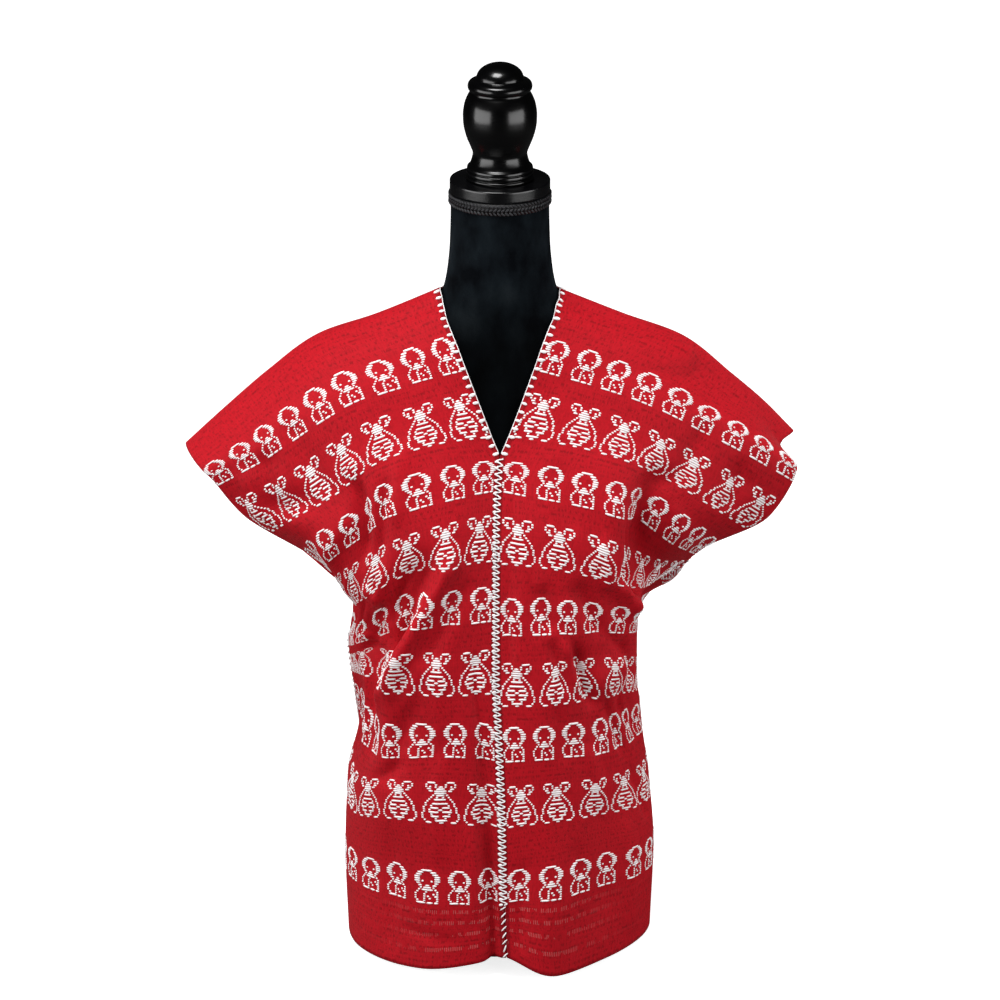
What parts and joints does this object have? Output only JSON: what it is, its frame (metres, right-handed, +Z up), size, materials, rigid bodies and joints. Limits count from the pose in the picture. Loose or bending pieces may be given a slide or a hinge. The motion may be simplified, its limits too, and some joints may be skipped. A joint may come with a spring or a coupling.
{
  "type": "huipil blouse on a dress form",
  "caption": "Hip-length woven blouse with a V neck and wide short sleeves, hanging from the shoulders of a limbless dress form topped by a turned finial.",
  "frame": {"origin": "middle of the dress form's flat underside, on the surface that it stands on", "axes": "+Z up, the front faces -Y, +X to the viewer's right"},
  "size_m": [0.6432, 0.3153, 0.9766],
  "materials": {
    "red_cotton": "hand-woven cotton with raised off-white brocade",
    "black_velvet": "black velvet cover",
    "black_braid": "herringbone braid",
    "black_satin": "satin stretched over a plate",
    "black_lacquer": "turned wood in gloss black lacquer"
  },
  "bodies": {
    "root": {"left_web": "red_cotton", "right_web": "red_cotton", "form_torso": "black_velvet", "neck_braid": "black_braid", "cap_plate": "black_satin", "finial": "black_lacquer"}
  },
  "joints": []
}
